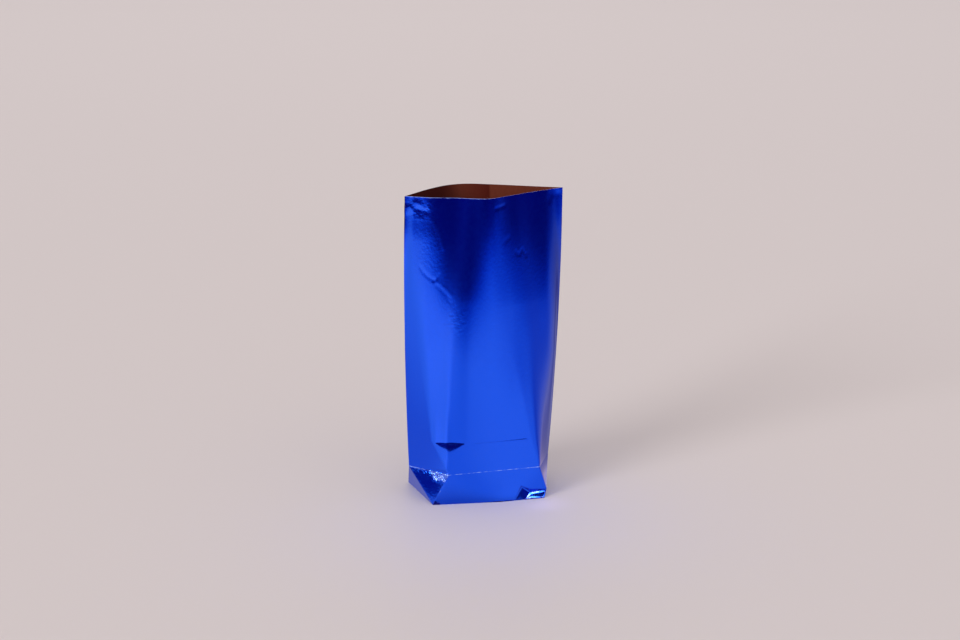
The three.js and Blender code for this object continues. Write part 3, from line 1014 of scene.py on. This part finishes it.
def light_room(scene):
    world = bpy.data.worlds.new("studio")
    scene.world = world
    world.use_nodes = True
    tree = world.node_tree
    tree.nodes.clear()
    path = add(tree, "ShaderNodeLightPath")
    place = add(tree, "ShaderNodeTexCoord")
    split = add(tree, "ShaderNodeSeparateXYZ", links={"Vector": place.outputs["Generated"]})
    behind = add(tree, "ShaderNodeMapRange", {**SOFTLY, **between(BACKDROP_EDGE)}, {
        "Value": split.outputs["Y"]})
    pale = add(tree, "ShaderNodeBackground", {"Color": PALE_ROOM, "Strength": PALE_ROOM_STRENGTH})
    across = add(tree, "ShaderNodeMapRange", between((-1.0, 1.0)), {"Value": split.outputs["X"]})
    gloom = add(tree, "ShaderNodeValToRGB", links={"Fac": across.outputs["Result"]})
    set_stops(gloom, DARK_ROOM)
    dark = add(tree, "ShaderNodeBackground", {"Strength": 1.0}, {"Color": gloom.outputs["Color"]})
    backdrop = add(tree, "ShaderNodeBackground", {"Color": BACKDROP, "Strength": 1.0})
    room = add(tree, "ShaderNodeMixShader", links={
        0: behind.outputs["Result"], 1: dark.outputs[0], 2: backdrop.outputs[0]})
    mixed = add(tree, "ShaderNodeMixShader", links={
        0: path.outputs["Is Glossy Ray"], 1: pale.outputs[0], 2: room.outputs[0]})
    add(tree, "ShaderNodeOutputWorld", links={"Surface": mixed.outputs[0]})


def hang_lamps(scene):
    for name, place, aim, size, power, colour, mirrored in LAMPS:
        light = bpy.data.lights.new(name, "AREA")
        light.shape = "RECTANGLE"
        light.size, light.size_y = size
        light.energy = power
        light.color = colour
        lamp = bpy.data.objects.new(name, light)
        lamp.location = place
        lamp.visible_camera = False
        lamp.visible_diffuse = not mirrored
        lamp.visible_glossy = mirrored
        lamp.rotation_euler = (Vector(aim) - lamp.location).to_track_quat("-Z", "Y").to_euler()
        scene.collection.objects.link(lamp)

    light = bpy.data.lights.new("window_key", "SUN")
    light.energy = KEY_STRENGTH
    light.angle = KEY_SPREAD
    key = bpy.data.objects.new("window_key", light)
    key.visible_glossy = False
    key.rotation_euler = (-1 * Vector(KEY_FROM)).to_track_quat("-Z", "Y").to_euler()
    scene.collection.objects.link(key)


def mirrored_floor(tree):
    """Colour of the floor as the foil mirrors it: the pool, its tints, the shade at the foot, the dark."""
    place = add(tree, "ShaderNodeNewGeometry").outputs["Position"]
    ahead = add(tree, "ShaderNodeVectorMath", {"operation": "DOT_PRODUCT", 1: POOL_HEADING}, {0: place})
    far = add(tree, "ShaderNodeMapRange", {**SOFTLY, **between(POOL_ENDS)}, {
        "Value": ahead.outputs["Value"]})
    pool = add(tree, "ShaderNodeValToRGB", links={"Fac": far.outputs["Result"]})
    set_stops(pool, POOL)
    sides = add(tree, "ShaderNodeSeparateXYZ", links={"Vector": place})
    forward = add(tree, "ShaderNodeMath", {"operation": "MULTIPLY", 1: -1.0}, {0: sides.outputs["Y"]})
    bearing = add(tree, "ShaderNodeMath", {"operation": "ARCTAN2"}, {
        0: sides.outputs["X"], 1: forward.outputs[0]})
    turned = add(tree, "ShaderNodeMapRange", between((-math.pi, math.pi)), {"Value": bearing.outputs[0]})
    round_bag = add(tree, "ShaderNodeValToRGB", links={"Fac": turned.outputs["Result"]})
    set_stops(round_bag, [(0.5 + degrees / 360, colour) for degrees, colour in FLOOR_ROUND_BAG])
    round_foot = add(tree, "ShaderNodeMapping", {
        "Location": FOOT_SHIFT, "Scale": FOOT_SCALE}, {"Vector": place})
    away = add(tree, "ShaderNodeVectorMath", {"operation": "LENGTH"}, {0: round_foot.outputs[0]})
    clear = add(tree, "ShaderNodeMapRange", {**SOFTLY, **between(SHADE_ENDS)}, {
        "Value": away.outputs["Value"]})
    outside = add(tree, "ShaderNodeMapRange", between(TINT_ENDS), {"Value": away.outputs["Value"]})
    tint = add(tree, "ShaderNodeMix", {**COLOURS, FROM: WHITE}, {
        SHARE: outside.outputs["Result"], TO: round_bag.outputs["Color"]})
    tinted = add(tree, "ShaderNodeMix", TIMES, {FROM: pool.outputs["Color"], TO: tint.outputs[MIXED]})
    shade = add(tree, "ShaderNodeMix", {**COLOURS, FROM: FOOT_SHADE, TO: WHITE}, {
        SHARE: clear.outputs["Result"]})
    shaded = add(tree, "ShaderNodeMix", TIMES, {FROM: tinted.outputs[MIXED], TO: shade.outputs[MIXED]})
    behind = add(tree, "ShaderNodeVectorMath", {"operation": "DOT_PRODUCT", 1: LOST_HEADING}, {0: place})
    lost = add(tree, "ShaderNodeMapRange", {**SOFTLY, **between(LOST_ENDS), "To Max": LOST_SHARE}, {
        "Value": behind.outputs["Value"]})
    dimmed = add(tree, "ShaderNodeMix", {**COLOURS, TO: LOST_COLOUR}, {
        SHARE: lost.outputs["Result"], FROM: shaded.outputs[MIXED]})
    return dimmed.outputs[MIXED]


def lay_floor():
    bpy.ops.mesh.primitive_circle_add(vertices=FLOOR_CORNERS, radius=FLOOR_RADIUS, fill_type="NGON")
    floor = bpy.context.object
    floor.name = "floor"
    material, tree = new_material("pale_studio_floor")
    path = add(tree, "ShaderNodeLightPath")
    mirrored = add(tree, "ShaderNodeEmission", {"Strength": 1.0}, {"Color": mirrored_floor(tree)})
    plain = add(tree, "ShaderNodeBsdfPrincipled", {
        "Base Color": linear(FLOOR_COLOUR), "Roughness": 0.5, "Specular IOR Level": 0.08})
    shown = add(tree, "ShaderNodeMixShader", links={
        0: path.outputs["Is Glossy Ray"], 1: plain.outputs[0], 2: mirrored.outputs[0]})
    add(tree, "ShaderNodeOutputMaterial", links={"Surface": shown.outputs[0]})
    floor.data.materials.append(material)


def place_camera(scene):
    lens = bpy.data.cameras.new("camera")
    lens.lens = CAMERA_LENS
    lens.sensor_width = CAMERA_SENSOR
    camera = bpy.data.objects.new("camera", lens)
    camera.location = CAMERA_PLACE
    camera.rotation_euler = (math.radians(90 - CAMERA_ELEVATION), 0, math.radians(CAMERA_AZIMUTH))
    scene.collection.objects.link(camera)
    scene.camera = camera


def studio():
    scene = bpy.context.scene
    scene.view_settings.view_transform = "Standard"
    scene.view_settings.look = "None"
    light_room(scene)
    hang_lamps(scene)
    lay_floor()
    place_camera(scene)


studio()
finishes = lacquered_foil(), kraft_paper(), cut_edge()
fold_bag(*finishes)
fold_base(*finishes)
